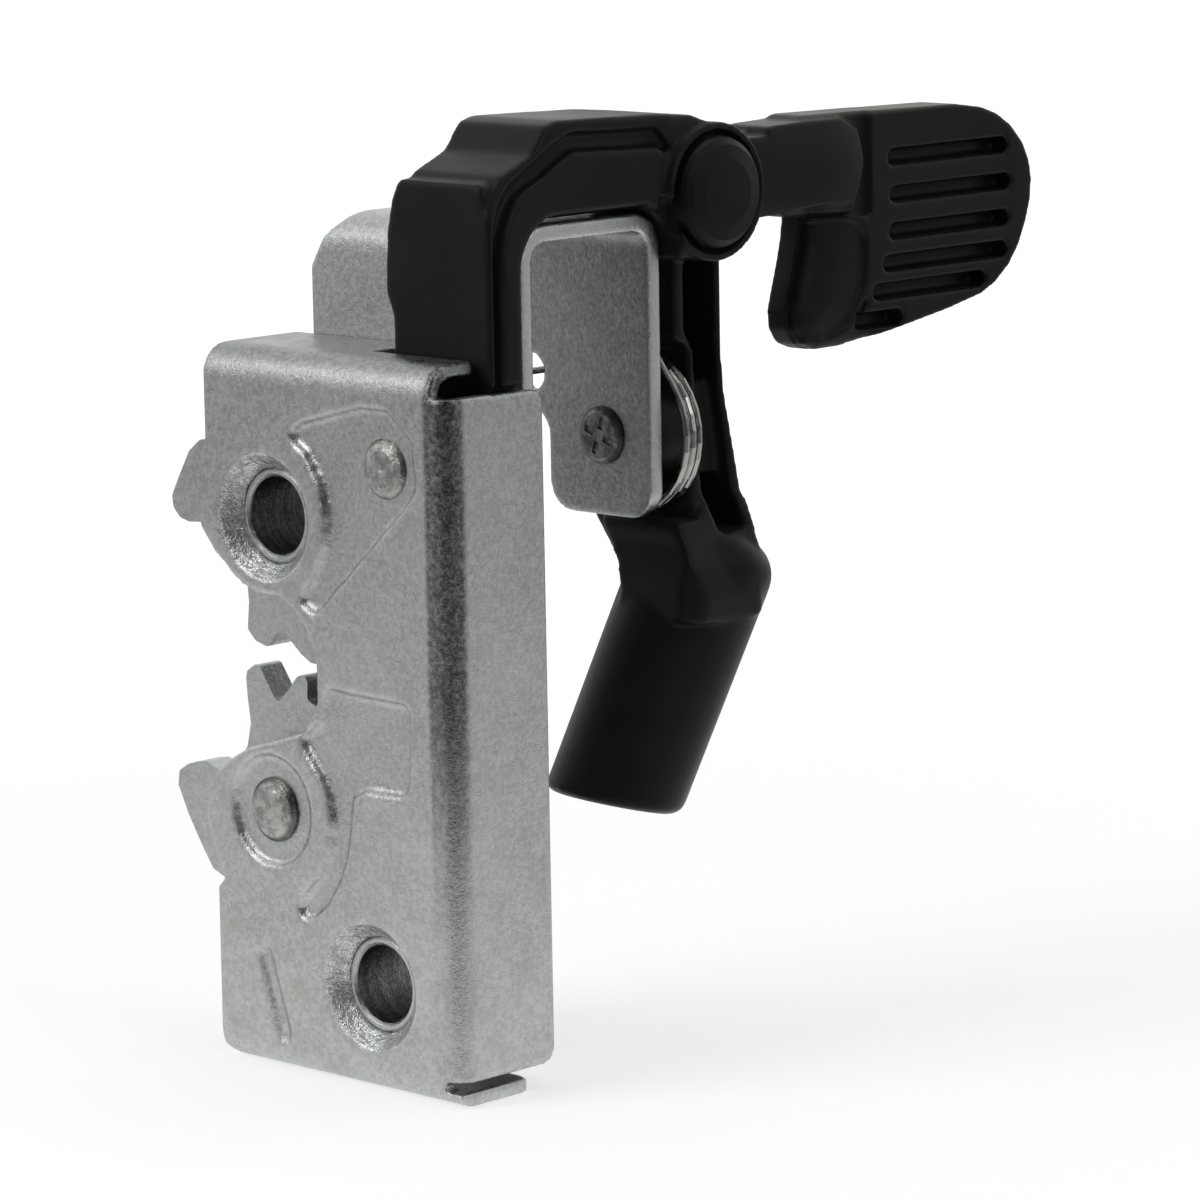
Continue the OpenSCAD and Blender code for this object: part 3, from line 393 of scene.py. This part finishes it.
def step_round(finish, one, other, inner, outer, *ends):
    nearest = from_axis(finish, one).least(from_axis(finish, other))
    return finish.band(nearest, inner / 1000, outer / 1000, *ends)


print("the bushes stand", round(1000 * (UP_BUSH - LOW_BUSH).length, 1), "mm apart")

# %% [markdown]
# With the rulers each place on the case becomes a mask: the long bend, whose
# upper part gets a dark, mottled painted reflection, the top, darkened by
# painted shade, a slight darkening over the upper half, and the dimples round
# the bushes, which get painted glints. A painted texture would do too, but it
# would have to be drawn again whenever a size changes.

# %% Places on the case
# Painted reflection: a dark band on the long bend, where the sheet mirrors the dark side of the room.
def bend_reflection(finish):
    above_foot = step_along(finish, TALL, 1.6, 3.8)
    upwards = step_along(finish, TALL, 17.8, 59.8, 0.10, 1.0)
    in_front = step_along(finish, DEEP, 2.0, 3.4, 1.0, 0.0)
    return above_foot * upwards * step_along(finish, ACROSS, 41.6, 42.7) * in_front


# Painted shade on the case: the bend's painted reflection, the top flange darkened by painted shade, and
# the upper half a little darker.
def shade_on_case(finish):
    top = step_along(finish, TALL, 93.8, 95.6)
    upper_half = step_along(finish, TALL, 43.8, 93.8)
    return (bend_reflection(finish) + 0.45 * top + 0.12 * upper_half).clip()


# The dimples round the bushes, which get painted glints.
def dimples(finish):
    return step_round(finish, UP_BUSH, LOW_BUSH, 8.2, 9.0, 1.0, 0.0)


print("the masks", bend_reflection.__name__, shade_on_case.__name__, dimples.__name__, "are ready")

# %% [markdown]
# The bushes are bored with rings that a turning tool leaves, and painted
# shade darkens their bores. Painted shade darkens the back plate's rear wall,
# and a painted highlight lies on its cut edge round the saddle.

# %% Places on the bushes and the back plate
# Painted shade inside the bores, broken by the turning rings.
def bore_shade(finish):
    rings = finish.band(finish.noise(60, 3, 0.6, finish.stretch((0.4, 22, 0.4))), 0.35, 0.65, 1.0, 0.55)
    return step_round(finish, UP_BUSH, LOW_BUSH, 5.25, 5.5, 1.0, 0.0) * rings


# Painted shade: the rear wall is darkened by depth.
def rear_wall_shade(finish):
    return 0.42 * step_along(finish, DEEP, 30.4, 39.4)


# Painted highlight along the saddle's cut edge.
def saddle_edge_highlight(finish):
    return step_along(finish, ACROSS, 41.9, 42.5)


print("the masks", bore_shade.__name__, rear_wall_shade.__name__, saddle_edge_highlight.__name__, "are ready")

# %% [markdown]
# Zinc plating on pressed sheet is a light, cool grey with faint clouds from
# the bath, a little yellow passivation and a fine satin grain. Clouds and
# grain come from noise at two scales, and thin long scratches from noise
# that is stretched along one direction. Painted shade darkens bends, the top,
# the rear wall and bores, a painted highlight lightens a cut edge, and the
# pressed dimples get painted glints.

# %% Zinc plate
def zinc_finish(name, tone, rough, painted_shade=None, painted_glints=None, painted_highlight=None):
    finish = Finish(name)
    clouds = finish.noise(45, 4, 0.65)
    spots = finish.noise(330, 4, 0.65)
    grain = finish.noise(1500, 3, 0.7)
    fine = finish.noise(4200, 2, 0.6)
    scratches = finish.noise(60, 3, 0.6, finish.stretch((1, 1, 22), (0.3, 0.2, 0.5)))
    yellowed = (tone[0] * 0.93, tone[1] * 0.90, tone[2] * 0.80)
    base = finish.mix(finish.band(clouds, 0.3, 0.7), times(tone, 0.86), times(tone, 1.06))
    base = finish.mix(finish.band(grain, 0.35, 0.65) * 0.6, base, times(tone, 1.40))
    base = finish.mix(finish.band(spots, 0.52, 0.75) * 0.5, base, yellowed)
    relief = fine + grain + 1.2 * spots
    # Painted shade: the masked places darken towards a fifth of the tone, mottled by the grain.
    if painted_shade:
        mottled = finish.band(grain + 0.6 * fine, 0.55, 1.15, 1.0, 0.45)
        base = finish.mix(painted_shade(finish) * mottled, base, times(tone, 0.20))
    # Painted highlight: the masked edge is lightened.
    if painted_highlight:
        base = finish.mix(painted_highlight(finish) * 0.6, base, times(tone, 1.45))
    # Painted glints: light and dark specks in the masked dimples, over a deeper real relief.
    if painted_glints:
        glint_area = painted_glints(finish)
        base = finish.mix(glint_area * finish.band(fine, 0.45, 0.60), base, times(tone, 1.8))
        base = finish.mix(glint_area * finish.band(spots, 0.40, 0.60) * 0.45, base, times(tone, 0.40))
        relief = relief + glint_area * 2.5 * (grain + spots)
    base = finish.mix(finish.band(scratches, 0.64, 0.72) * 0.12, base, times(tone, 1.3))
    patches = finish.band(spots, 0.3, 0.7, rough - 0.06, rough + 0.07)
    finish.set(color=base, metal=1.0, rough=patches + 0.10 * finish.band(grain, 0.35, 0.65),
               normal=finish.bump(relief, 0.00008, 0.8))
    print(name, "has", len(finish.tree.nodes), "nodes")
    return finish


SHEET = (0.43, 0.446, 0.438)
case_zinc = zinc_finish("case zinc", SHEET, 0.30, painted_shade=shade_on_case, painted_glints=dimples)
back_zinc = zinc_finish("back zinc", SHEET, 0.30, painted_shade=rear_wall_shade, painted_highlight=saddle_edge_highlight)
bush_zinc = zinc_finish("bush zinc", SHEET, 0.32, painted_shade=bore_shade)
rotor_zinc = zinc_finish("rotor zinc", (0.41, 0.422, 0.412), 0.29)

# %% [markdown]
# Rivet heads and pins are bare-looking steel: darker and mottled, with tiny
# tool marks and a ring of painted shade round the rim of each head, where it
# meets the sheet. The rear pin sits in the saddle's shade, painted as a darker
# steel. A rim is a band at a distance from the pin's axis, which is cheaper
# than modelling the head's edge.

# %% Pin steel
def steel_finish(name, low, high, rim):
    finish = Finish(name)
    marks = finish.noise(1500, 3, 0.6)
    mottle = finish.noise(650, 4, 0.7)
    head = finish.mix(finish.band(mottle, 0.38, 0.62), low, high)
    # Painted shade: a dark ring round the rim of each head, where it meets the sheet.
    rim_shade = step_round(finish, TURNS["lower_rotor_turn"], TURNS["pawl_turn"], rim, rim + 0.6)
    finish.set(color=finish.mix(rim_shade * 0.8, head, times(low, 0.35)), metal=1.0,
               rough=finish.band(marks, 0.35, 0.65, 0.30, 0.46),
               normal=finish.bump(marks + 2 * mottle, 0.00010, 0.8))
    print(name, "has", len(finish.tree.nodes), "nodes")
    return finish


pin_steel = steel_finish("pin steel", (0.26, 0.265, 0.25), (0.47, 0.475, 0.45), 3.4)
# Painted shade: the rear pin's steel is a darker copy of the pin steel.
shaded_pin_steel = steel_finish("rear pin shaded steel", (0.13, 0.133, 0.125), (0.30, 0.305, 0.29), 3.1)

# %% [markdown]
# Spring wire is drawn through a die, which leaves it smooth, bright and only
# faintly streaked. One noise steers its tone, its gloss and its relief.

# %% Spring wire
spring_wire = Finish("spring wire")
drawn = spring_wire.noise(900, 2, 0.5)
spring_wire.set(color=spring_wire.mix(drawn, (0.34, 0.335, 0.32), (0.52, 0.51, 0.49)), metal=1.0,
                rough=spring_wire.band(drawn, 0.3, 0.7, 0.20, 0.32),
                normal=spring_wire.bump(drawn, 0.00001, 0.3))
print("spring wire has", len(spring_wire.tree.nodes), "nodes")

# %% [markdown]
# The lever is moulded in a tough black plastic. Its skin has a very fine
# eroded grain, a soft sheen and slightly paler, drier patches. A grey painted
# highlight lies along the paddle's top edge, where its top faces the light.

# %% Black plastic
TOP_LIGHT_GREY = (0.105, 0.101, 0.090)


# Painted highlight: the part of the paddle's top edge that faces the light.
def paddle_top_light(finish):
    return step_along(finish, TALL, 121.8, 122.7) * step_along(finish, DEEP, 62.4, 66.4)


def plastic_finish(name, tone, lit_top=None):
    finish = Finish(name)
    grain = finish.noise(3400, 2, 0.6)
    flow = finish.noise(55, 3, 0.5)
    base = finish.mix(finish.band(flow, 0.35, 0.7), tone, times(tone, 1.35))
    # Painted highlight: a light grey, mottled, along the paddle's top.
    if lit_top:
        lit_mottle = finish.band(flow + 0.5 * grain, 0.5, 1.0, 0.7, 1.0)
        base = finish.mix(lit_top(finish) * lit_mottle, base, TOP_LIGHT_GREY)
    finish.set(color=base, normal=finish.bump(grain, 0.00003, 0.5),
               rough=finish.band(flow, 0.3, 0.7, 0.34, 0.43) + 0.05 * finish.band(grain, 0.4, 0.6),
               ior=1.3, specular=0.3, sheen=0.04, sheen_rough=0.3)
    print(name, "has", len(finish.tree.nodes), "nodes")
    return finish


lever_black = plastic_finish("lever black", (0.0116, 0.0110, 0.0106))
paddle_black = plastic_finish("paddle black", (0.0106, 0.0103, 0.0094), lit_top=paddle_top_light)
cap_black = plastic_finish("cap black", (0.0086, 0.0084, 0.0074))

# %% [markdown]
# Each finish now goes to its pieces. The paddle's solid gets its finish too,
# although the pressed copy is what shows.

# %% Hand out the finishes
def paint(finish, *names):
    for name in names:
        piece = NODES.get(name) or bpy.data.objects[name]
        piece.data.materials.clear()
        piece.data.materials.append(finish.material)
    print(finish.material.name, "is on", len(names), "pieces")


paint(case_zinc, "front_case")
paint(back_zinc, "back_plate")
paint(bush_zinc, "upper_bush", "lower_bush")
paint(rotor_zinc, "upper_rotor", "lower_rotor", "pawl")
paint(shaded_pin_steel, "lever_pin")
paint(pin_steel, "rotor_pin", "pawl_pin", "pawl_stud", "lever_sleeve", "lever_washer",
      "upper_rotor_washer", "lower_rotor_washer", "pawl_washer", "upper_spring_post",
      "lower_spring_post")
paint(spring_wire, "return_spring", "upper_rotor_spring", "lower_rotor_spring")
paint(lever_black, "lever")
paint(paddle_black, "paddle", "paddle_skin")
paint(cap_black, "hub_pin")

# %% [markdown]
# A product table is a plain, pale sweep that melts into the white behind it.
# A plane at the case's lower edge is enough for it, as long as it glows a
# little where the camera looks, and dims in the mirror image that the plated
# sheet shows of it. Light Path tells these rays apart.

# %% Floor
FLOOR_GAP = 0.0002
ROOM_FRONT = Vector((0.69, -0.71, 0.0))
bpy.ops.mesh.primitive_plane_add(size=6, location=(0, 0, cad_box[0][2] - FLOOR_GAP))
floor = bpy.context.object
floor.name = "floor"
bpy.ops.object.transform_apply(location=True, rotation=True, scale=True)


def is_ray(nodes, kind):
    return nodes.add("ShaderNodeLightPath", {}, {}, "Is " + kind + " Ray")


def glow(nodes, strength):
    return nodes.add("ShaderNodeEmission", {}, {"Color": (1, 1, 1), "Strength": strength})


pale = Finish("floor pale")
pale.set(color=(0.62, 0.62, 0.62), rough=0.9)
far_off = vector_math(pale, "LENGTH", {0: pale.where}, "Value")
seen = (is_ray(pale, "Camera") + is_ray(pale, "Transmission")).clip()
plain = glow(pale, seen * pale.band(far_off, 0.10, 0.80, 0.60, 0.86))
lit = pale.add("ShaderNodeAddShader", {}, {0: Value(pale, pale.shader.outputs[0]), 1: plain})
front_dim = pale.band(along(pale, ROOM_FRONT), 0.0, 0.40, 1.0, 0.10)
mirrored = glow(pale, front_dim * pale.band(far_off, 0.03, 0.55, 1.0, 0.40))
shown = pale.add("ShaderNodeMixShader", {}, {0: is_ray(pale, "Glossy"), 1: lit, 2: mirrored})
pale.feed(pale.tree.nodes["Material Output"].inputs["Surface"], shown)
floor.data.materials.append(pale.material)
print("the floor lies", round(-1000 * cad_box[0][2], 1), "mm below the upper bush")

# %% [markdown]
# A studio is dark behind the photographer. In the plated sheet this shows as
# a dark band along every bend that faces the camera, so the world grows dim
# on that side of the room. The side is a fixed direction of the room and
# doesn't follow the camera. What the camera sees past the floor is white,
# while the light that falls on the latch stays at a plain level.

# %% World
sky = bpy.data.worlds.new("studio")
bpy.context.scene.world = sky
studio = Patterns(sky, "Generated")
seen = (is_ray(studio, "Camera") + is_ray(studio, "Glossy") + is_ray(studio, "Transmission")).clip()
dark_side = studio.band(along(studio, ROOM_FRONT + 0.10 * TALL), -0.70, 0.85, 1.0, 0.10)
light = studio.tree.nodes["Background"]
studio.feed(light.inputs["Color"], (1, 1, 1))
studio.feed(light.inputs["Strength"], (0.42 + 0.58 * seen) * dark_side)
print("the world has", len(studio.tree.nodes), "nodes")

# %% [markdown]
# Three large soft lamps stand for the product table's light tents: a main
# one over the left shoulder, a weaker one on the right and one from above.
# Small lamps would give the satin sheet hard streaks.

# %% Lamps
AIM = spot(35, 30, 70)


def soft_lamp(name, place, width, power):
    bpy.ops.object.light_add(type="AREA", location=place)
    lamp = bpy.context.object
    lamp.name = name
    lamp.data.size = width
    lamp.data.energy = power
    lamp.rotation_euler = (AIM - Vector(place)).to_track_quat("-Z", "Y").to_euler()
    print(name, "gives", power, "W")


soft_lamp("main lamp", (-0.35, -0.85, 0.65), 0.6, 4.6)
soft_lamp("right lamp", (0.95, 0.05, 0.45), 0.5, 1.6)
soft_lamp("top lamp", (0.1, 0.15, 0.95), 0.7, 1.8)

# %% [markdown]
# The camera stands where the photographer's stood: far off, with a long
# lens, looking from the front right and a little from above. Its place, its
# tilt, roll and pan come from matching the case's edges in the picture.

# %% Camera
CAMERA_SPOT = spot(532.5, -471.5, 180.4)
TILT, ROLL, PAN = math.radians(80.428), math.radians(0.996), math.radians(44.103)
bpy.ops.object.camera_add()
camera = bpy.context.object
camera.name = "camera"
camera.data.lens = 162.8
camera.data.sensor_width = 36
camera.data.clip_start = 0.05
camera.matrix_world = Matrix.Translation(CAMERA_SPOT) @ Euler((TILT, ROLL, PAN)).to_matrix().to_4x4()
bpy.context.scene.camera = camera
bpy.context.scene.view_settings.view_transform = "Standard"
print("the camera stands", round((CAMERA_SPOT - AIM).length, 2), "m off")
